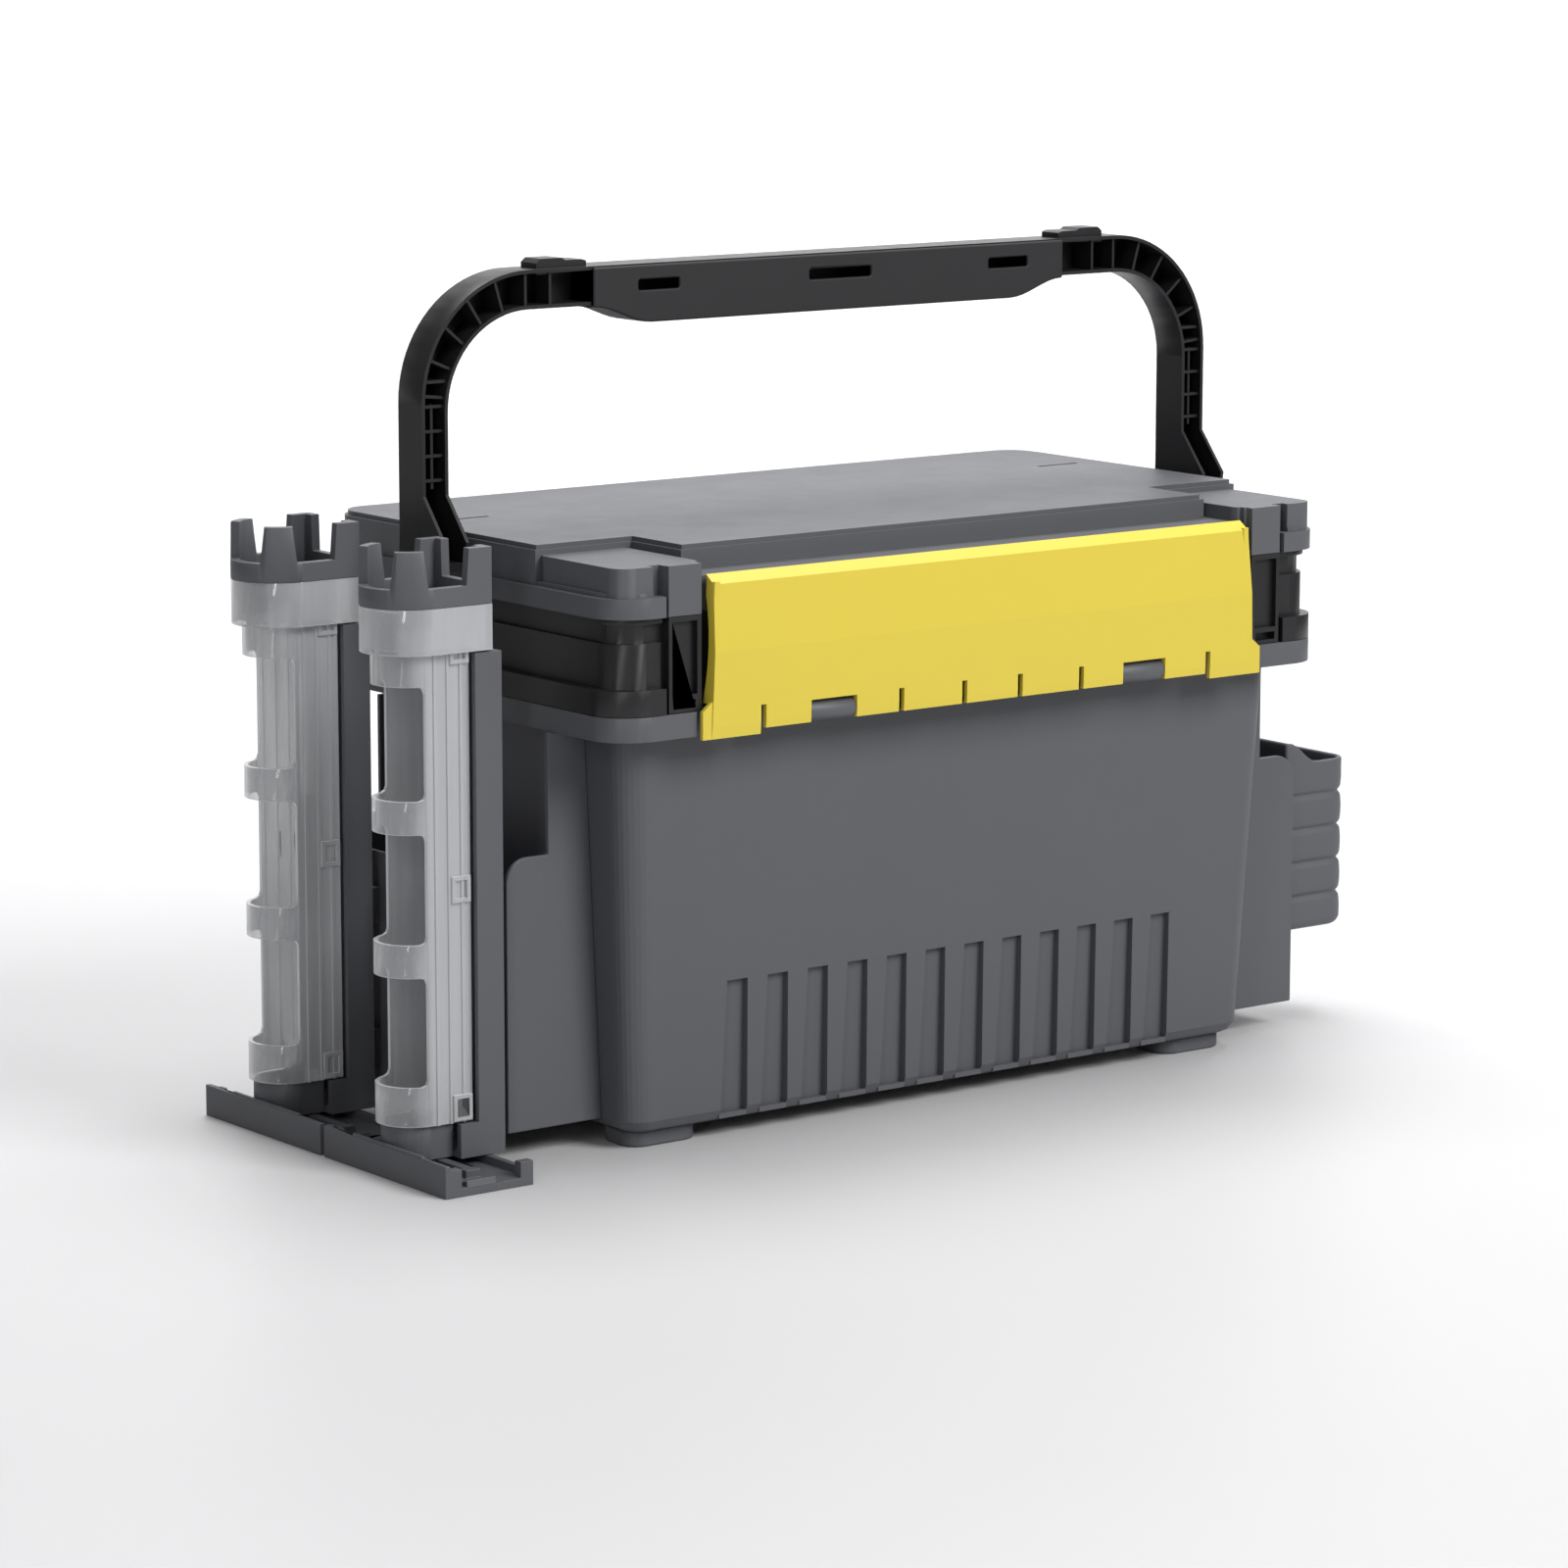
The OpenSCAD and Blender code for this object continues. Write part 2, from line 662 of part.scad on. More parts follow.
module handle() color(black) in_place() {
    flare_top = lid_top + 18;
    low = pivot_z;
    eye_r = 18.5;
    web = 3;
    arc_z = handle_top - arch_r;
    arc_x0 = handle_half - arch_r;
    difference() {
        union() {
            // Web at the back and rims round the open front
            along_y(handle_y + leg_d - web, web) arch_outline(0, flare_top);
            difference() {
                along_y(handle_y, leg_d) arch_outline(0, flare_top);
                along_y(handle_y - 1, leg_d) arch_outline(channel_wall, flare_top + channel_wall);
            }
            // Thin centre rib of the legs
            both_sides()
                block([handle_half - leg_t / 2 - 0.7, handle_y + 3, flare_top], [handle_half - leg_t / 2 + 0.7,
                    handle_y + leg_d - 1, arc_z]);
            // Cross ribs, along the rays of the corners
            along_y(handle_y + 2, leg_d - 3) intersection() {
                arch_outline(0.6, flare_top);
                union() {
                    for (sx = [-1, 1]) {
                        for (i = [0 : 4])
                            translate([sx * (handle_half - leg_t / 2), flare_top + 8 + i * 11.5])
                                square([leg_t, 1.4], center = true);
                        for (a = [6 : 16.8 : 90])
                            translate([sx * arc_x0, arc_z - 2]) rotate(sx > 0 ? a : 180 - a)
                                translate([arch_r - 24, -0.7]) square([28, 1.4]);
                        translate([sx * (arc_x0 - 14) - 0.7, handle_top - arch_t]) square([1.4, arch_t]);
                    }
                }
            }
            both_sides() {
                // Stops at the ends of the grip
                along_y(handle_y + 3, leg_d - 7)
                    polygon([[grip_half + 1, handle_top - 2], [grip_half + 1, handle_top + 2.6],
                        [grip_half + 3.5, handle_top + 3.4], [grip_half + 13, handle_top + 3.4],
                        [grip_half + 15, handle_top + 4.6], [grip_half + 27, handle_top + 4.6],
                        [grip_half + 29.5, handle_top + 2.6], [grip_half + 29.5, handle_top - 3]]);
            }
            // Feet: the leg flares forward and ends in a round eye on the pivot
            both_sides() along_x(handle_half - leg_t, leg_t) {
                polygon([[handle_y + leg_d, flare_top + 1], [handle_y, flare_top + 1],
                    [handle_y - 17, lid_top - 1.5], [pivot_y - eye_r, pivot_z + 4], [pivot_y - eye_r, pivot_z],
                    [pivot_y + eye_r - 1, pivot_z], [handle_y + leg_d, lid_top]]);
                translate([pivot_y, low]) circle(eye_r);
            }
        }
        // Hollow of the flare, open to the front
        both_sides()
            block([handle_half - leg_t + channel_wall, pivot_y - eye_r - 4, pivot_z + 8],
                [handle_half - channel_wall, handle_y + leg_d - web, flare_top + 4]);
        both_sides()
            bar_x(handle_half - leg_t - 1, handle_half + 1, pivot_y, pivot_z, (pivot_d + pin_gap) / 2);
    }
}

// Outline of the grip cover as [x, z]: straight top, bottom that dips in soft curves
module grip_outline() {
    top = handle_top - 0.6;
    rest = handle_top - arch_t - 1;
    low = handle_top - arch_t - grip_drop;
    bend = 34;
    polygon([
        [-grip_half, top], [-grip_half, rest],
        for (i = [1 : 8]) [-grip_half + bend * i / 8, rest - (rest - low) * (1 - cos(180 * i / 8)) / 2],
        for (i = [8 : -1 : 1]) [grip_half - bend * i / 8, rest - (rest - low) * (1 - cos(180 * i / 8)) / 2],
        [grip_half, rest], [grip_half, top]
    ]);
}

module handle_grip() color("#2c2c2e") in_place() {
    difference() {
        along_y(handle_y - 2.2, leg_d + 4.4) grip_outline();
        // Room for the arch
        block([-grip_half - 1, handle_y - snug, handle_top - arch_t - snug],
            [grip_half + 1, handle_y + leg_d + snug, handle_top + 1]);
        // Lightening hollow in the lower edge, closed below by the front and back skins
        block([-grip_half + 36, handle_y + 2, handle_top - arch_t - grip_drop - 1],
            [grip_half - 36, handle_y + leg_d - 2, handle_top - arch_t - 2.6]);
        // Three clip windows in the front skin
        for (w = [[38 - grip_half, 12], [3, 19], [grip_half - 35.5, 12.5]])
            block([w[0] - w[1], handle_y - 3, handle_top - 12.5], [w[0] + w[1], handle_y, handle_top - 7.5]);
    }
}

module handle_pins() color(steel) in_place() both_sides() {
    bar_x(side - 7, handle_half + 0.4, pivot_y, pivot_z, pivot_d / 2);
    bar_x(handle_half + 0.3, handle_half + 2.8, pivot_y, pivot_z, 8);
}

// Half rings on the lid ends, behind the handle feet
module strap_eyes() color(black) in_place() both_sides()
    translate([side, 36, skirt_top + 4]) rotate([90, 0, 90]) {
        difference() {
            rotate_extrude() translate([8, 0]) circle(2, $fn = 32);
            translate([-12, -24, -4]) cube([24, 24, 8]);
        }
        translate([-10, snug - 4, snug - 2.5]) cube([20, 4.5, 4.2]);
    }

// One length of the base rail, from y0 towards +Y
module rail(y0) {
    difference() {
        union() {
            block([rail_x, y0, 0], [rail_x + rail_w, y0 + rail_len, rail_floor]);
            block([rail_x, y0, 0], [rail_x + rail_lip, y0 + rail_len, rail_h]);
            block([rail_x + rail_w - 3.4, y0, 0], [rail_x + rail_w, y0 + rail_len, channel_z - seam]);
            // Guide rib that the holder stands on
            block([rail_x + 22, y0 + 18, 0], [rail_x + 27, y0 + rail_len - 8, channel_z - seam]);
            block([rail_x + 20.5, y0 + 14, 0], [rail_x + 28.5, y0 + 19, channel_z - seam]);
            // Raised strip on the near lip
            block([rail_x + 0.5, y0 + 20, rail_h - 1], [rail_x + 2.3, y0 + rail_len - 24, rail_h + 1]);
            // End posts and stop ramp
            for (y = [y0, y0 + rail_len - 5]) {
                block([rail_x, y, 0], [rail_x + 9, y + 5, rail_h - 2]);
                block([rail_x + rail_w - 7, y, 0], [rail_x + rail_w, y + 5, rail_h - 3.5]);
            }
            along_x(rail_x + 12, 16)
                polygon([[y0, rail_floor - 1], [y0 + 1, rail_floor + 3], [y0 + 10, rail_floor - 0.5]]);
        }
        // Drain slot
        block([rail_x + 33, y0 + 30, -1], [rail_x + 37, y0 + 54, rail_floor + 1]);
    }
}

module front_rail() color(grey) in_place() rail(rail_y);

module rear_rail() color(grey) in_place() rail(rail_y + rail_len + rail_gap);

// D-shaped plan of a holder part: a round end of radius r and straight sides up to x1
module d_plan(r, x1) {
    intersection() {
        union() {
            translate([arc_x, 0]) circle(r);
            translate([arc_x, -r]) square([x1 - arc_x, 2 * r]);
        }
        translate([arc_x - r - 1, -r - 1]) square([x1 - arc_x + r + 1, 2 * r + 2]);
    }
}

module d_tube(r, x1, z0, z1) {
    translate([0, 0, z0]) linear_extrude(z1 - z0) difference() {
        d_plan(r, x1);
        d_plan(r - sleeve_wall, x1 - sleeve_wall);
    }
}

flange_x = channel_x - channel_t;
sleeve_z = foot_top + snug;
// Heights of the closed bands on the sleeve, as shares of its length
band_levels = [[0, 0.077], [0.29, 0.354], [0.567, 0.631], [0.85, 1]];

function sleeve_level(share) = sleeve_z + share * (sleeve_top - sleeve_z);

// Outline of one open window, [x, z], with cut inner corners
module window_outline(z0, z1) {
    x1 = arc_x - 2;
    polygon([[arc_x - 2 * collar_r, z0], [x1 - 3.1, z0], [x1 - 0.9, z0 + 0.9], [x1, z0 + 3.1],
        [x1, z1 - 3.1], [x1 - 0.9, z1 - 0.9], [x1 - 3.1, z1], [arc_x - 2 * collar_r, z1]]);
}

module sleeve() {
    back_x = flange_x - 1;
    difference() {
        union() {
            d_tube(band_r, back_x, sleeve_z, sleeve_top - 2);
            // Wide collar at the top
            d_tube(collar_r, flange_x + 9, sleeve_top - 19.5, sleeve_top);
            translate([0, 0, sleeve_top - 21]) linear_extrude(2) difference() {
                d_plan(collar_r, flange_x + 9);
                d_plan(band_r - 1, back_x - 1);
            }
            // Upright ribs and clip loops on the flanges
            for (s = [-1, 1]) {
                for (x = [0 : 2])
                    block([arc_x + 2 + x * 7, s * band_r - 0.7, sleeve_z], [arc_x + 3.4 + x * 7, s * band_r + 0.7, sleeve_top - 20]);
                for (z = [sleeve_z + 1, sleeve_level(0.43), sleeve_level(0.89)])
                    difference() {
                        block([back_x - 11, s * band_r - 1.7, z], [back_x - 1, s * band_r + 1.7, z + 12]);
                        block([back_x - 9.2, -collar_r, z + 1.8], [back_x - 2.8, collar_r, z + 10.2]);
                    }
            }
            // Two upright ribs and a row of pegs inside the back wall
            for (y = [-5, 5])
                block([back_x - sleeve_wall - 1.4, y - 0.6, sleeve_z], [back_x - 1, y + 0.6, sleeve_top - 20]);
            for (i = [0 : 2])
                block([back_x - sleeve_wall - 4, -1.6, sleeve_level(band_levels[i][1]) + 14],
                    [back_x - 1, 1.6, sleeve_level(band_levels[i][1]) + 25]);
        }
        for (i = [0 : 2])
            along_y(-collar_r - 1, 2 * collar_r + 2)
                window_outline(sleeve_level(band_levels[i][1]), sleeve_level(band_levels[i + 1][0]));
    }
}

module channel() {
    // Open U towards the sleeve, with a wider block at the foot
    block([channel_x - 3, -collar_r + 1, channel_z], [channel_x, collar_r - 1, channel_top]);
    for (s = [-1, 1])
        translate([0, s * (collar_r - 2.4), 0])
            block([channel_x - channel_t, -1.4, channel_z], [channel_x - 2, 1.4, channel_top]);
    difference() {
        block([channel_x - base_block, -collar_r + 1, channel_z], [channel_x, collar_r - 1, foot_top - seam]);
        block([channel_x - base_block - 1, -collar_r + 4, channel_z + 3], [channel_x - 3, collar_r - 4, foot_top + 1]);
    }
}

module crown_plan() {
    difference() {
        d_plan(collar_r, flange_x + 9);
        d_plan(collar_r - 4.5, flange_x + 4.5);
    }
}

module crown() {
    z0 = sleeve_top + snug;
    z1 = z0 + crown_h;
    translate([0, 0, z0]) linear_extrude(crown_ring) crown_plan();
    // Four tapered prongs stand on the ring: two on its round end, two on its corners
    intersection() {
        translate([0, 0, z0]) linear_extrude(crown_h) crown_plan();
        union() {
            for (a = [-120, 120])
                translate([arc_x, 0, 0]) rotate([0, 0, a]) along_x(1, collar_r + 2)
                    polygon([[-8.5, z0 + 1], [8.5, z0 + 1], [8.5, z0 + crown_ring], [6.5, z1], [-6.5, z1],
                        [-8.5, z0 + crown_ring]]);
            intersection() {
                along_y(-collar_r - 1, 2 * collar_r + 2)
                    polygon([[flange_x - 5.5, z0 + 1], [flange_x + 10, z0 + 1], [flange_x + 10, z1],
                        [flange_x - 3.5, z1]]);
                difference() {
                    along_x(flange_x - 10, 30)
                        polygon([[-collar_r - 1, z0 + 1], [collar_r + 1, z0 + 1], [collar_r + 1, z1], [-collar_r - 1, z1]]);
                    along_x(flange_x - 11, 32)
                        polygon([[-collar_r + 10, z0], [collar_r - 10, z0], [collar_r - 9, z1 + 1], [-collar_r + 9, z1 + 1]]);
                }
            }
        }
    }
}

module foot_cup() {
    difference() {
        translate([0, 0, channel_z]) linear_extrude(foot_top - channel_z) d_plan(foot_r, channel_x - base_block - snug);
        translate([0, 0, channel_z + 3]) linear_extrude(foot_top) d_plan(foot_r - 2.4, channel_x - base_block - 2.6);
        // Drain hole
        translate([arc_x, 0, channel_z - 1]) cylinder(h = 5, r = 2.5);
    }
}

front_holder = holder_y + holder_w / 2;
rear_holder = front_holder + holder_pitch;

module at_holder(y) {
    in_place() translate([0, y, 0]) children();
}

module front_holder_channel() color(grey) at_holder(front_holder) channel();

module front_holder_sleeve() color(clear) at_holder(front_holder) sleeve();

module front_holder_crown() color(grey) at_holder(front_holder) crown();

module front_holder_foot() color(grey) at_holder(front_holder) foot_cup();

module rear_holder_channel() color(grey) at_holder(rear_holder) channel();

module rear_holder_sleeve() color(clear) at_holder(rear_holder) sleeve();

module rear_holder_crown() color(grey) at_holder(rear_holder) crown();

module rear_holder_foot() color(grey) at_holder(rear_holder) foot_cup();

// Clips that hold the holder channels on the left carrier
module holder_clips() color(dark_grey) in_place()
    for (y = [front_holder + 4, rear_holder - 4], z = [carrier_z + 22, carrier_top - 28])
        block([channel_x + snug, y - 10, z - 9], [-carrier_out - snug, y + 10, z + 9]);

// Plan of the cup: straight against the carrier, round at the outer corners
module cup_plan(inset) {
    difference() {
        union() {
            translate([cup_x + inset, cup_y + inset]) square([cup_out - cup_r - inset, cup_d - 2 * inset]);
            translate([cup_x + inset, cup_y + cup_r]) square([cup_out - 2 * inset, cup_d - 2 * cup_r]);
            for (y = [cup_y + cup_r, cup_y + cup_d - cup_r])
                translate([cup_x + cup_out - cup_r, y]) circle(cup_r - inset);
        }
    }
}

// Side outline that the cup's walls are cut to: high at the carrier, falling in a soft S to the rim
module cup_rim_cut() {
    top = cup_z + cup_h;
    polygon([[cup_x - 1, top + 11], [cup_x + 2, top + 11], [cup_x + 5, top + 9.6], [cup_x + 9, top + 6.4],
        [cup_x + 13, top + 3.2], [cup_x + 17, top + 1], [cup_x + 21, top], [cup_x + cup_out + 1, top],
        [cup_x + cup_out + 1, top + 20], [cup_x - 1, top + 20]]);
}

module side_cup() color(grey) in_place() {
    ribs = 5;
    rib_h = cup_h / ribs;
    difference() {
        union() {
            translate([0, 0, cup_z + 3]) linear_extrude(cup_h + 8) cup_plan(1.6);
            translate([0, 0, cup_z + 1.2]) linear_extrude(3) cup_plan(2.6);
            translate([0, 0, cup_z]) linear_extrude(3) cup_plan(4);
            for (i = [0 : ribs - 1]) {
                high = i == ribs - 1 ? 12 : 0;
                translate([0, 0, cup_z + i * rib_h + (i == 0 ? 4.4 : 2)])
                    linear_extrude(rib_h - 4 + high - (i == 0 ? 2.4 : 0)) cup_plan(0);
                translate([0, 0, cup_z + i * rib_h + (i == 0 ? 3.2 : 1)])
                    linear_extrude(rib_h - 2 + high - (i == 0 ? 2.2 : 0)) cup_plan(0.7);
            }
        }
        translate([0, 0, cup_z + 3]) linear_extrude(cup_h + 20) intersection() {
            cup_plan(1.8 + cup_wall);
            translate([cup_x + cup_wall, cup_y]) square([cup_out, cup_d]);
        }
        along_y(cup_y - 1, cup_d + 2) cup_rim_cut();
    }
}

tub();
tub_rim();
feet();
left_carrier();
right_carrier();
latch();
latch_pins();
tray_frame();
frame_hinge_pins();
organiser_tray();
tray_dividers();
lid();
lid_hinge_pins();
handle();
handle_grip();
handle_pins();
strap_eyes();
front_rail();
rear_rail();
holder_clips();
front_holder_channel();
front_holder_sleeve();
front_holder_crown();
front_holder_foot();
rear_holder_channel();
rear_holder_sleeve();
rear_holder_crown();
rear_holder_foot();
side_cup();
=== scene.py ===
"""Looks of a moulded carry box with a tray frame, a wide latch, an arch handle and holders."""
import logging
import math
from dataclasses import dataclass
from enum import Enum
from typing import Optional

import bpy
import numpy as np
from mathutils import Matrix, Vector


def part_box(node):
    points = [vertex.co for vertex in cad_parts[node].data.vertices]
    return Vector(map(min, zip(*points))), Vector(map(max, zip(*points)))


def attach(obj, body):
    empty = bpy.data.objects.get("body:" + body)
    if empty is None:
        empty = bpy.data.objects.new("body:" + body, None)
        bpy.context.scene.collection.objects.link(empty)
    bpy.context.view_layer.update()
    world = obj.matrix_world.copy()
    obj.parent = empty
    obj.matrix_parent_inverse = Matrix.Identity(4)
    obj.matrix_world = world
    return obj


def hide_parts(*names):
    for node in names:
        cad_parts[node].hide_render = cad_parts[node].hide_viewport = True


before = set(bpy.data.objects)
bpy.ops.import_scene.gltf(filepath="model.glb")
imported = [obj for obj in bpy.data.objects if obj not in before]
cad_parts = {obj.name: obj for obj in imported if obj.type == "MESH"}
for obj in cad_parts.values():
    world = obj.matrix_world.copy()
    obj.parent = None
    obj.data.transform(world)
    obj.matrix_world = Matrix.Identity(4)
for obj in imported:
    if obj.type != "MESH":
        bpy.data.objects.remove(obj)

LOG = logging.getLogger("carry_box")
MM = 0.001
FLOW_PATCH = 60 * MM  # soft patches of colour where the melt flowed
RUB_PATCH = 25 * MM  # duller and shinier patches from handling


def linear(hex_code: str) -> tuple[float, float, float, float]:
    """Turn an sRGB hex code into linear RGBA.

    Args:
        hex_code: six hex digits after a hash sign.

    Returns:
        Red, green, blue and an alpha of one, where a channel c becomes ((c + 0.055) / 1.055) to
        the power 2.4, or c / 12.92 in the deepest shadows.
    """
    channels = [int(hex_code[i:i + 2], 16) / 255 for i in (1, 3, 5)]
    red, green, blue = (
        c / 12.92 if c <= 0.04045 else ((c + 0.055) / 1.055) ** 2.4 for c in channels)
    return red, green, blue, 1.0


def add_node(tree: bpy.types.NodeTree, kind: str, inputs: Optional[dict] = None,
             **settings: object) -> bpy.types.Node:
    """Add a shader node with its settings, values and links.

    Args:
        tree: the material's node tree.
        kind: the node's type name without its "ShaderNode" start.
        inputs: socket name or number to a plain value, or to the output socket that feeds it.
        **settings: attributes of the node itself.

    Returns:
        The new node.
    """
    node = tree.nodes.new("ShaderNode" + kind)
    for name, value in settings.items():
        setattr(node, name, value)
    for name, value in (inputs or {}).items():
        if isinstance(value, bpy.types.NodeSocket):
            tree.links.new(value, node.inputs[name])
        else:
            node.inputs[name].default_value = value
    return node


class Grain(Enum):
    """Surface that the mould leaves, as (size of a grain in mm, height of a grain in mm).

    Real etching is about 0.2 mm wide, and is drawn three to seven times as coarse so that it shows.
    """

    FINE = (0.9, 0.030)
    SATIN = (0.6, 0.012)
    COARSE = (1.4, 0.045)


@dataclass(frozen=True)
class Finish:
    """A procedural finish on Object coordinates.

    Attributes:
        name: name of the finish.
        colour: sRGB hex of the pigment or metal.
    """

    name: str
    colour: str

    def make(self) -> bpy.types.Material:
        """Build the material once and hand it out after that."""
        if self.name in bpy.data.materials:
            return bpy.data.materials[self.name]
        material = bpy.data.materials.new(self.name)
        material.use_nodes = True
        tree = material.node_tree
        place = add_node(tree, "TexCoord").outputs["Object"]
        self.paint(tree, tree.nodes["Principled BSDF"], place)
        return material

    def paint(self, tree: bpy.types.NodeTree, shader: bpy.types.Node,
              place: bpy.types.NodeSocket) -> None:
        """Add this finish's own nodes and values.

        Args:
            tree: the new material's node tree.
            shader: its Principled shader.
            place: the socket that gives Object coordinates.
        """
        raise NotImplementedError


@dataclass(frozen=True)
class MouldedPlastic(Finish):
    """Injection-moulded ABS or polypropylene with an etched grain: soft sheen, no sparkle.

    Attributes:
        roughness: middle of the roughness range.
        grain: etched surface of the mould.
        mottle: how far the colour drifts across the part, as a share.
        coat: strength of the glossier skin on pigmented parts.
        gloss: share of the usual mirror reflection, lower on matt olefin plastics.
    """

    roughness: float = 0.46
    grain: Grain = Grain.FINE
    mottle: float = 0.025
    coat: float = 0.0
    gloss: float = 0.38

    def paint(self, tree: bpy.types.NodeTree, shader: bpy.types.Node,
              place: bpy.types.NodeSocket) -> None:
        """Mix the mottled pigment, the handled sheen and the etched grain."""
        flow = add_node(tree, "TexNoise", {"Vector": place, "Scale": 1 / FLOW_PATCH, "Detail": 3.0,
                                           "Roughness": 0.55})
        base = linear(self.colour)
        light = tuple(min(1.0, c * (1 + self.mottle)) for c in base[:3]) + (1.0,)
        dark = tuple(c * (1 - self.mottle) for c in base[:3]) + (1.0,)
        # Mix keeps a set of sockets for each data type, so its factor and colours go by number
        tint = add_node(tree, "Mix", {0: flow.outputs["Fac"], 6: dark, 7: light}, data_type="RGBA")
        tree.links.new(tint.outputs[2], shader.inputs["Base Color"])
        rub = add_node(tree, "TexNoise", {"Vector": place, "Scale": 1 / RUB_PATCH, "Detail": 4.0,
                                          "Roughness": 0.6})
        sheen = add_node(tree, "MapRange", {
            "Value": rub.outputs["Fac"], "From Min": 0.3, "From Max": 0.7,
            "To Min": self.roughness - 0.02, "To Max": self.roughness + 0.03})
        tree.links.new(sheen.outputs["Result"], shader.inputs["Roughness"])
        size, height = self.grain.value
        pits = add_node(tree, "TexNoise", {"Vector": place, "Scale": 1 / (size * MM), "Detail": 2.0,
                                           "Roughness": 0.6})
        bump = add_node(tree, "Bump", {"Height": pits.outputs["Fac"], "Strength": 0.55,
                                       "Distance": height * MM})
        tree.links.new(bump.outputs["Normal"], shader.inputs["Normal"])
        shader.inputs["IOR"].default_value = 1.5
        shader.inputs["Specular IOR Level"].default_value = self.gloss
        shader.inputs["Coat Weight"].default_value = self.coat
        shader.inputs["Coat Roughness"].default_value = 0.25


@dataclass(frozen=True)
class ClearPlastic(Finish):
    """Clear moulded polycarbonate: see-through bands, milky side walls and a painted highlight, a
    near-white colour where a wall is seen end on.

    Attributes:
        edge: sRGB hex of the painted highlight, the colour that a wall turns to where it is seen
            end on.
        middle: place of the part's middle across its width, in mm.
        half: distance from the middle to a side wall, in mm.
        alpha: share of light that the thin front wall stops.
        milk: share of light that a side wall stops more.
        streak: width of the flow streaks in mm.
    """

    edge: str
    middle: float
    half: float
    alpha: float = 0.30
    milk: float = 0.26
    streak: float = 6.0

    def paint(self, tree: bpy.types.NodeTree, shader: bpy.types.Node,
              place: bpy.types.NodeSocket) -> None:
        """Set how much each wall stops, as the sum of streaks, side walls and grazing edges."""
        # Flow lines of the moulding run up the part as long soft streaks
        stretch = add_node(tree, "Mapping", {"Vector": place, "Scale": (1.0, 1.0, 0.08)})
        streaks = add_node(tree, "TexNoise", {"Vector": stretch.outputs["Vector"],
                                              "Scale": 1 / (self.streak * MM), "Detail": 2.0})
        cloud = add_node(tree, "MapRange", {"Value": streaks.outputs["Fac"],
                                            "To Min": self.alpha - 0.08,
                                            "To Max": self.alpha + 0.08})
        # The flat side walls are ribbed inside, so they scatter more light than the round front
        axes = add_node(tree, "SeparateXYZ", {"Vector": place})
        off = add_node(tree, "Math", {0: axes.outputs["Y"], 1: self.middle * MM},
                       operation="SUBTRACT")
        away = add_node(tree, "Math", {0: off.outputs["Value"]}, operation="ABSOLUTE")
        side = add_node(tree, "MapRange", {
            "Value": away.outputs["Value"], "From Min": (self.half - 3.5) * MM,
            "From Max": (self.half - 0.8) * MM, "To Max": self.milk})
        rim = add_node(tree, "LayerWeight", {"Blend": 0.30})
        graze = add_node(tree, "Math", {0: rim.outputs["Facing"], 1: 0.6}, operation="MULTIPLY")
        body = add_node(tree, "Math", {0: cloud.outputs["Result"], 1: graze.outputs["Value"]},
                        operation="ADD")
        whole = add_node(tree, "Math", {0: body.outputs["Value"], 1: side.outputs["Result"]},
                         operation="ADD", use_clamp=True)
        tree.links.new(whole.outputs["Value"], shader.inputs["Alpha"])
        # Painted highlight: the colour turns from the pale grey of the bands to near white as a
        # wall turns end on, and the grazing alpha above lets it show
        tint = add_node(tree, "Mix", {0: rim.outputs["Facing"], 6: linear(self.colour),
                                      7: linear(self.edge)}, data_type="RGBA")
        tree.links.new(tint.outputs[2], shader.inputs["Base Color"])
        ripple = add_node(tree, "Bump", {"Height": streaks.outputs["Fac"], "Strength": 0.25,
                                         "Distance": 0.15 * MM})
        tree.links.new(ripple.outputs["Normal"], shader.inputs["Normal"])
        shader.inputs["Roughness"].default_value = 0.09
        shader.inputs["IOR"].default_value = 1.58
        shader.inputs["Specular IOR Level"].default_value = 0.7


@dataclass(frozen=True)
class Paint(Finish):
    """Flat emulsion paint on the studio floor: even and dull.

    Attributes:
        patch: how many soft patches of sheen there are to a metre.
    """

    patch: float = 3.0

    def paint(self, tree: bpy.types.NodeTree, shader: bpy.types.Node,
              place: bpy.types.NodeSocket) -> None:
        """Vary the sheen of one plain colour."""
        haze = add_node(tree, "TexNoise", {"Vector": place, "Scale": self.patch, "Detail": 2.0})
        tone = add_node(tree, "MapRange", {"Value": haze.outputs["Fac"], "To Min": 0.45,
                                           "To Max": 0.55})
        tree.links.new(tone.outputs["Result"], shader.inputs["Roughness"])
        shader.inputs["Base Color"].default_value = linear(self.colour)


@dataclass(frozen=True)
class PlatedSteel(Finish):
    """Zinc-plated turned steel pins: bright, with finely mottled plating.

    Attributes:
        fleck: width of a patch of the plating in mm.
    """

    fleck: float = 0.8

    def paint(self, tree: bpy.types.NodeTree, shader: bpy.types.Node,
              place: bpy.types.NodeSocket) -> None:
        """Vary the roughness of a plain metal."""
        flecks = add_node(tree, "TexNoise", {"Vector": place, "Scale": 1 / (self.fleck * MM),
                                             "Detail": 2.0})
        dull = add_node(tree, "MapRange", {"Value": flecks.outputs["Fac"], "To Min": 0.25,
                                           "To Max": 0.45})
        tree.links.new(dull.outputs["Result"], shader.inputs["Roughness"])
        shader.inputs["Base Color"].default_value = linear(self.colour)
        shader.inputs["Metallic"].default_value = 1.0


# Injection-moulded polypropylene: mid grey, a dry satin look with an even fine grain
GREY_BODY = MouldedPlastic("Polypropylene_grey_etched", "#4d4e52", 0.50, Grain.FINE)
# Etched ABS: near black, a touch smoother, so that its ribs catch thin highlights
BLACK_FRAME = MouldedPlastic("ABS_black_etched", "#151517", 0.40, Grain.FINE, 0.06, 0.0, 0.42)
# Satin ABS in a warm yellow with a thin glossy skin
YELLOW_LATCH = MouldedPlastic("ABS_yellow_satin", "#c0ad3c", 0.42, Grain.SATIN, 0.02, 0.06, 0.35)
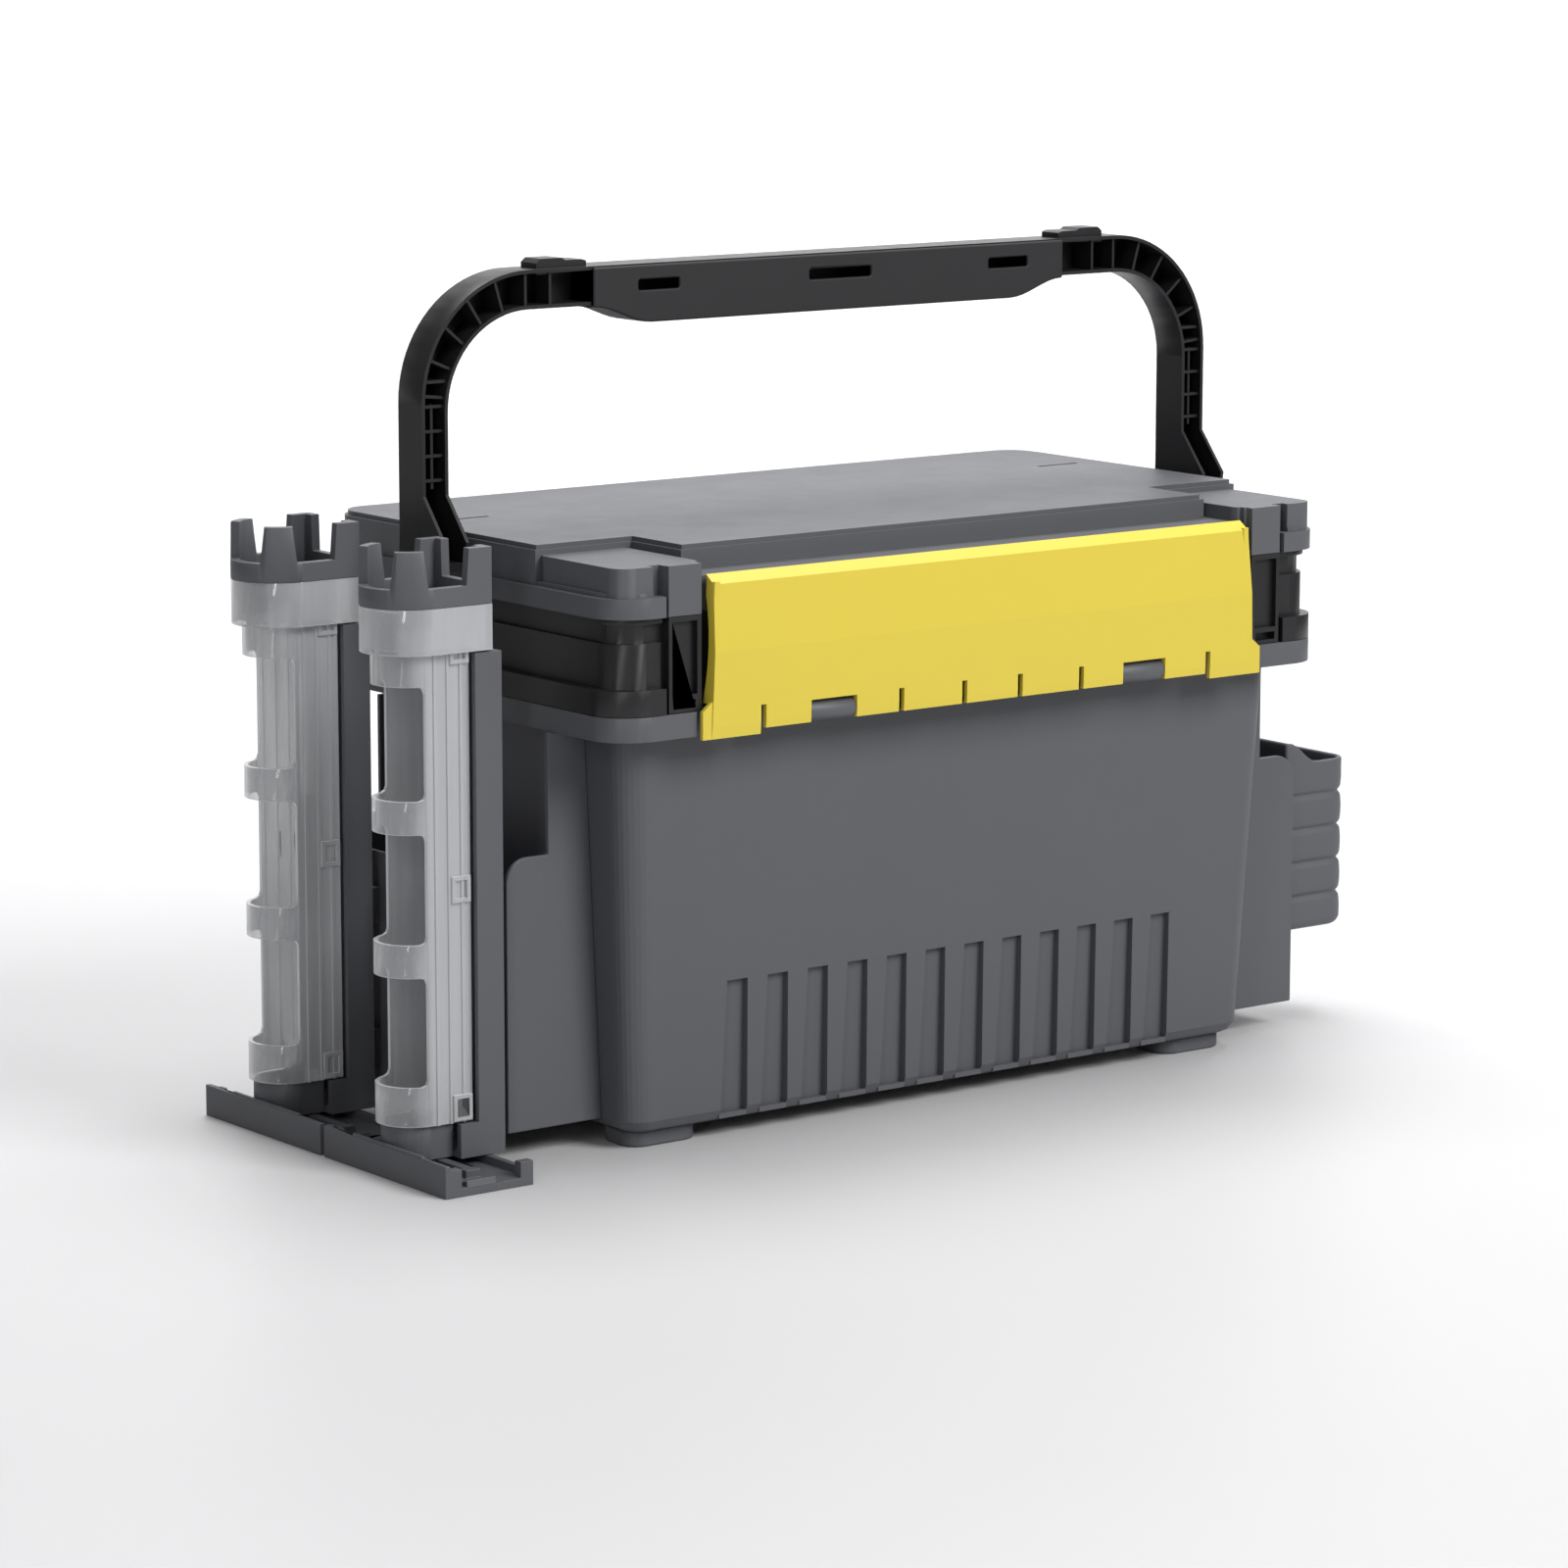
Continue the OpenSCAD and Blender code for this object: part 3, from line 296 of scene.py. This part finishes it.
# Lift-out trays: darker polypropylene, smoother than the shell
TRAY_GREY = MouldedPlastic("Polypropylene_dark_satin", "#34353a", 0.42, Grain.SATIN)
# Soft-touch grip: rubbery, dull, with a coarser grain
GRIP_RUBBER = MouldedPlastic("Thermoplastic_rubber_black", "#1b1b1d", 0.62, Grain.COARSE, 0.06,
                             0.0, 0.35)
# Turned steel with a bright zinc plating: pale, with small sharp highlights
PIN_STEEL = PlatedSteel("Steel_zinc_plated", "#b4b6b9")
# Pale matt paint of the studio floor: neutral, so that the object's shadow stays soft
FLOOR_PAINT = Paint("Floor_white_paint", "#b4b4b5")


def soften(node: str, width: float, segments: int = 2) -> None:
    """Round the edges of a CAD node with modifiers only.

    Edges that turn by more than 30 degrees are rounded. Faces that lie within 0.6 degrees of each
    other are joined first, so that the rounding meets no needless edges.

    Args:
        node: name of the CAD node.
        width: width of the rounding in mm.
        segments: faces across the rounding.
    """
    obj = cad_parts[node]
    weld = obj.modifiers.new("weld", "WELD")
    weld.merge_threshold = 0.005 * MM
    flat = obj.modifiers.new("flat", "DECIMATE")
    flat.decimate_type = "DISSOLVE"
    flat.angle_limit = math.radians(0.6)
    bevel = obj.modifiers.new("round", "BEVEL")
    bevel.width = width * MM
    bevel.segments = segments
    bevel.limit_method = "ANGLE"
    bevel.angle_limit = math.radians(30)
    bevel.harden_normals = True
    bevel.miter_outer = "MITER_ARC"


def dress(finish: Finish, *nodes: str) -> None:
    """Give CAD nodes a finish.

    Args:
        finish: the finish to give.
        *nodes: names of the CAD nodes.
    """
    material = finish.make()
    for name in nodes:
        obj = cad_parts[name]
        for slot in obj.material_slots:
            slot.material = material
        LOG.info("%s: %s", name, material.name)


@dataclass
class Body:
    """The tub with its rim, feet, side carriers and rails."""

    def build(self) -> None:
        """Round the mouldings and give them their finishes."""
        dress(GREY_BODY, "tub", "tub_rim", "feet", "left_carrier", "right_carrier", "front_rail",
              "rear_rail", "holder_clips")
        dress(PIN_STEEL, "latch_pins", "frame_hinge_pins")
        for node, width in (("tub", 0.9), ("tub_rim", 1.2), ("left_carrier", 0.8),
                            ("right_carrier", 0.8), ("front_rail", 0.6), ("rear_rail", 0.6),
                            ("holder_clips", 0.6), ("feet", 1.2)):
            soften(node, width)


@dataclass
class SideCup:
    """The open cup on the right carrier, as one swept shell.

    Attributes:
        wall: thickness of the wall in mm.
        corner: radius of the two outer corners in mm.
        back_corner: radius of the two corners at the carrier in mm.
        heel: radius of the rounded bottom edge in mm.
        rim: height of the low rim above the bottom in mm.
        slope: how far from the carrier the wall has fallen to the rim, in mm.
        level: how far from the carrier the edge stays at its full height, in mm.
        ease: height under the rim over which the grooved wall turns into the edge, in mm.
        base: thickness of the bottom in mm.
        fillet: radius between the wall and the bottom inside, in mm.
        grooves: heights of the grooves above the bottom in mm.
        groove_depth: depth of a groove in mm.
        groove_half: half width of a groove in mm.
        bulge: how far the wall swells between two grooves, in mm.
        lip: inset and height of the rounded lip's points in mm, from the outer wall and the rim to
            the inner wall.
    """

    wall: float = 2.4
    corner: float = 12.0
    back_corner: float = 1.6
    heel: float = 5.5
    rim: float = 88.0
    slope: float = 21.0
    level: float = 2.0
    ease: float = 6.0
    base: float = 3.0
    fillet: float = 4.0
    grooves: tuple[float, ...] = (17.6, 35.2, 52.8, 70.4)
    groove_depth: float = 1.2
    groove_half: float = 1.3
    bulge: float = 0.9
    lip: tuple[tuple[float, float], ...] = (
        (0.15, -0.7), (0.5, -0.2), (1.2, 0.0), (1.9, -0.2), (2.3, -0.7), (2.4, -1.2))

    def plan(self, inset: np.ndarray, low: np.ndarray, high: np.ndarray) -> np.ndarray:
        """Lay a rounded rectangle round the cup for each inset.

        Each corner is an arc about a centre that lies one radius inside both sides; the radius
        shrinks with the inset, and each straight side joins the end of one arc to the start of the
        next.

        Args:
            inset: how far each ring lies inside the outer plan, in mm.
            low: lowest x and y of the cup in mm.
            high: highest x and y of the cup in mm.

        Returns:
            An array of rings by points by two.
        """
        signs = np.array([[1, -1], [1, 1], [-1, 1], [-1, -1]], float)
        radius = np.array([self.corner, self.corner, self.back_corner, self.back_corner])
        start = np.radians([-90.0, 0.0, 90.0, 180.0])
        turn = np.radians(np.linspace(0, 90, 13))
        shrunk = np.maximum(radius[None, :] - inset[:, None], 0.3)
        corner = np.where(signs > 0, high, low)[None] - signs[None] * inset[:, None, None]
        centre = corner - signs[None] * shrunk[..., None]
        angle = start[:, None] + turn[None, :]
        ray = np.stack([np.cos(angle), np.sin(angle)], -1)
        arcs = centre[:, :, None, :] + shrunk[:, :, None, None] * ray[None]
        share = np.linspace(0, 1, 10)[1:-1][:, None]
        arc_end, next_start = arcs[:, :, -1], np.roll(arcs[:, :, 0], -1, 1)
        sides = arc_end[:, :, None] * (1 - share) + next_start[:, :, None] * share
        return np.concatenate([arcs, sides], 2).reshape(len(inset), -1, 2)

    def profile(self) -> tuple[np.ndarray, np.ndarray, np.ndarray]:
        """Work out the rows of the shell, from under the bottom, up, over the rim and down inside.

        The heel is a quarter circle. Each groove is a bell curve, exp of minus the square of the
        distance over the half width, and between grooves the wall swells as the size of a sine
        whose zeros are the grooves. The rows near the rim share out the height that is left under
        the sloping edge.

        Returns:
            Inset in mm, height in mm, and the share of the edge's own rise that each row takes.
        """
        bend = np.radians(np.linspace(0, 90, 8))
        heel_in, heel_z = self.heel * (1 - np.sin(bend)), self.heel * (1 - np.cos(bend))
        edge_z = self.rim - self.ease
        side_z = np.linspace(self.heel + 0.8, edge_z, 96)
        bells = np.exp(-((side_z[:, None] - np.array(self.grooves)) / self.groove_half) ** 2).sum(1)
        swell = np.abs(np.sin(np.pi * side_z / self.grooves[0]))
        side_in = self.groove_depth * bells + self.bulge * (1 - swell ** 0.7)
        lip_in, lip_z = np.array(self.lip).T
        rise = np.linspace(0, 1, 8)[1:]
        rise_in = side_in[-1] * (1 - rise)
        rise_z = edge_z + rise * (self.ease + lip_z[-1])
        inner_z = np.linspace(self.rim - 3, self.base + self.fillet + 1, 12)
        inner_in = np.full(len(inner_z), self.wall)
        floor_in = self.wall + self.fillet * (1 - np.cos(bend))
        floor_z = self.base + self.fillet * (1 - np.sin(bend))
        fall = np.linspace(1, 0, len(inner_z) + 1)[1:]
        lip_in = lip_in * self.wall / lip_in[-1]
        inset = np.concatenate([heel_in, side_in, rise_in, lip_in, inner_in, floor_in])
        height = np.concatenate([heel_z, side_z, rise_z, self.rim + lip_z, inner_z, floor_z])
        share = np.concatenate([np.zeros(len(heel_z) + len(side_z)), rise, np.ones(len(lip_z)),
                                fall, np.zeros(len(floor_z))])
        return inset, height, share

    def build(self) -> None:
        """Sweep the profile round the plan, close both floors and hang the cup on the box body.

        The edge's own rise at a point falls in a soft S, one minus (3 t squared minus 2 t cubed),
        where t runs from 0 at the level part by the carrier to 1 at the end of the slope.
        """
        low, high = (np.array(corner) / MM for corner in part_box("side_cup"))
        inset, height, share = self.profile()
        rings = self.plan(inset, low[:2], high[:2])
        t = np.clip((rings[..., 0] - low[0] - self.level) / (self.slope - self.level), 0, 1)
        lift = (high[2] - low[2] - self.rim) * (1 - t * t * (3 - 2 * t))
        z = low[2] + height[:, None] + share[:, None] * lift
        verts = np.concatenate([rings, z[..., None]], -1) * MM
        rows, columns = rings.shape[:2]
        r, c = np.meshgrid(np.arange(rows - 1), np.arange(columns), indexing="ij")
        nxt = (c + 1) % columns
        under, over = r * columns, (r + 1) * columns
        quads = np.stack([under + c, under + nxt, over + nxt, over + c], -1)
        faces = quads.reshape(-1, 4).tolist()
        faces.append(np.arange(columns)[::-1].tolist())
        faces.append((np.arange(columns) + (rows - 1) * columns).tolist())
        mesh = bpy.data.meshes.new("cup_shell")
        mesh.from_pydata(verts.reshape(-1, 3).tolist(), [], faces)
        mesh.polygons.foreach_set("use_smooth", np.ones(len(faces), bool))
        mesh.materials.append(GREY_BODY.make())
        mesh.update()
        shell = bpy.data.objects.new("cup_shell", mesh)
        bpy.context.scene.collection.objects.link(shell)
        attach(shell, "box")
        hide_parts("side_cup")
        LOG.info("cup_shell: %d faces", len(faces))


@dataclass
class Tray:
    """The black tray frame with its organiser and dividers."""

    def build(self) -> None:
        """Round the mouldings and give them their finishes."""
        dress(BLACK_FRAME, "tray_frame")
        dress(TRAY_GREY, "organiser_tray", "tray_dividers")
        dress(PIN_STEEL, "lid_hinge_pins")
        soften("tray_frame", 0.7)
        soften("organiser_tray", 0.5, 1)


@dataclass
class Lid:
    """The grey lid with its handle pins and strap eyes."""

    def build(self) -> None:
        """Round the mouldings and give them their finishes."""
        dress(GREY_BODY, "lid")
        dress(BLACK_FRAME, "handle_pins", "strap_eyes")
        soften("lid", 1.6, 3)
        soften("handle_pins", 0.8)


@dataclass
class Latch:
    """The yellow latch plate."""

    def build(self) -> None:
        """Round the moulding and give it its finish."""
        dress(YELLOW_LATCH, "latch")
        soften("latch", 0.6)


@dataclass
class Handle:
    """The arch handle with its grip cover."""

    def build(self) -> None:
        """Round the mouldings and give them their finishes."""
        dress(BLACK_FRAME, "handle")
        dress(GRIP_RUBBER, "handle_grip")
        soften("handle", 0.4)
        soften("handle_grip", 1.2, 3)


@dataclass
class Holders:
    """The two clear tool holders with their grey crowns, channels and feet.

    Attributes:
        half: half width of the narrow part of a sleeve in mm.
    """

    half: float = 17.2

    def build(self) -> None:
        """Round the mouldings and give them their finishes."""
        for end in ("front", "rear"):
            dress(GREY_BODY, f"{end}_holder_channel", f"{end}_holder_crown",
                  f"{end}_holder_foot")
            low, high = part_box(f"{end}_holder_sleeve")
            middle = (low[1] + high[1]) / 2 / MM
            # Clear polycarbonate: pale grey bands, with a painted near-white highlight where a wall
            # is seen end on
            clear = ClearPlastic(f"Polycarbonate_clear_{end}", "#a3a5a8", "#f4f5f6", middle,
                                 self.half)
            dress(clear, f"{end}_holder_sleeve")
            for piece in ("channel", "crown", "foot"):
                soften(f"{end}_holder_{piece}", 0.6)
            soften(f"{end}_holder_sleeve", 0.45)


@dataclass(frozen=True)
class SoftLight:
    """A rectangular soft light.

    Attributes:
        name: name of the light.
        spot: its middle in metres.
        aim: the point that it faces, in metres.
        size: width and height in metres.
        watts: its power.
    """

    name: str
    spot: tuple[float, float, float]
    aim: tuple[float, float, float]
    size: tuple[float, float]
    watts: float

    def hang(self) -> None:
        """Put the light in the scene."""
        data = bpy.data.lights.new(self.name, "AREA")
        data.shape = "RECTANGLE"
        data.size, data.size_y = self.size
        data.energy = self.watts
        obj = bpy.data.objects.new(self.name, data)
        bpy.context.scene.collection.objects.link(obj)
        turn = (Vector(self.aim) - Vector(self.spot)).to_track_quat("-Z", "Y")
        obj.matrix_world = Matrix.Translation(self.spot) @ turn.to_matrix().to_4x4()


# A broad key from the front, a thin strip for the left end, a wide top and a wash on the backdrop
LIGHTS = (
    SoftLight("key", (0.7, -2.35, 2.0), (0, 0, 0.2), (1.4, 1.4), 98),
    SoftLight("strip", (-1.7, -1.25, 0.9), (-0.25, 0, 0.2), (0.22, 1.3), 9),
    SoftLight("top", (0.3, 0.4, 2.6), (0, 0, 0.2), (2.0, 1.6), 68),
    SoftLight("wash", (0.8, 1.05, 2.4), (2.0, 2.7, 0.7), (2.4, 1.2), 120),
)


@dataclass
class Studio:
    """Pale floor, soft lights and the camera.

    Attributes:
        azimuth: camera direction round the object in degrees.
        elevation: camera height above the horizon in degrees.
        roll: turn of the camera about its own axis in degrees.
        spot: camera position in mm, from the floor under the middle of the box body.
        half_depth: distance from the front of the tray frame to the middle of the body, in mm.
        lens: focal length in mm on a 36 mm wide sensor.
        fore: length of the floor in front of the middle, in metres.
        reach: distance from the middle to where the floor starts to curl up, in metres.
        curl: radius of the curl in metres.
        wall: height of the backdrop in metres.
        half_width: half the width of the floor in metres.
        glow: strength of the even light from all round.
    """

    azimuth: float = -37.12
    elevation: float = 9.97
    roll: float = 0.05
    spot: tuple[float, float, float] = (-1651.26, -2143.21, 617.4)
    half_depth: float = 122.0
    lens: float = 127.33
    fore: float = 4.0
    reach: float = 1.8
    curl: float = 1.2
    wall: float = 6.0
    half_width: float = 8.0
    glow: float = 0.28

    def camera(self) -> None:
        """Place the camera in front of the body, whose middle lies under that of the tray frame."""
        data = bpy.data.cameras.new("camera")
        data.lens = self.lens
        data.sensor_width = 36.0
        data.clip_end = 50.0
        obj = bpy.data.objects.new("camera", data)
        bpy.context.scene.collection.objects.link(obj)
        heading = Matrix.Rotation(math.radians(self.azimuth), 4, "Z")
        tilt = Matrix.Rotation(math.radians(90 - self.elevation), 4, "X")
        turn = heading @ tilt @ Matrix.Rotation(math.radians(self.roll), 4, "Z")
        low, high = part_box("tray_frame")
        middle = Vector(((low[0] + high[0]) / 2, low[1] + self.half_depth * MM, 0.0))
        obj.matrix_world = Matrix.Translation(middle + Vector(self.spot) * MM) @ turn
        bpy.context.scene.camera = obj

    def floor(self) -> None:
        """Lay a pale floor that curls up behind the object.

        The profile runs flat, then as a quarter circle, then straight up, and is carried sideways
        at right angles to the view.
        """
        turn = np.radians(np.linspace(0, 90, 24))
        run = np.concatenate([[-self.fore], self.reach + self.curl * np.sin(turn),
                              [self.reach + self.curl]])
        rise = np.concatenate([[0.0], self.curl * (1 - np.cos(turn)), [self.wall]])
        wide = np.array([-self.half_width, self.half_width])
        a = math.radians(self.azimuth)
        along = np.array([-math.sin(a), math.cos(a)])
        across = np.array([math.cos(a), math.sin(a)])
        plan = run[:, None, None] * along + wide[None, :, None] * across
        heights = np.broadcast_to(rise[:, None, None], plan.shape[:2] + (1,))
        verts = np.concatenate([plan, heights], -1)
        count = len(run)
        first = np.arange(count - 1) * 2
        faces = np.stack([first, first + 1, first + 3, first + 2], -1)
        mesh = bpy.data.meshes.new("floor")
        mesh.from_pydata(verts.reshape(-1, 3).tolist(), [], faces.tolist())
        mesh.polygons.foreach_set("use_smooth", np.ones(len(faces), bool))
        mesh.materials.append(FLOOR_PAINT.make())
        obj = bpy.data.objects.new("floor", mesh)
        bpy.context.scene.collection.objects.link(obj)

    def build(self) -> None:
        """Set up the floor, lights, world and camera."""
        self.camera()
        self.floor()
        for light in LIGHTS:
            light.hang()
        world = bpy.data.worlds.new("studio")
        world.use_nodes = True
        background = world.node_tree.nodes["Background"]
        background.inputs["Color"].default_value = linear("#f6f6f8")
        background.inputs["Strength"].default_value = self.glow
        bpy.context.scene.world = world
        bpy.context.scene.view_settings.view_transform = "Standard"


def main() -> None:
    """Build the studio and the sub-assemblies in order."""
    logging.basicConfig(level=logging.INFO, format="%(message)s")
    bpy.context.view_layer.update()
    for part in (Studio(), Body(), SideCup(), Tray(), Lid(), Latch(), Handle(), Holders()):
        part.build()
        LOG.info("built %s", type(part).__name__)


if __name__ == "__main__":
    main()
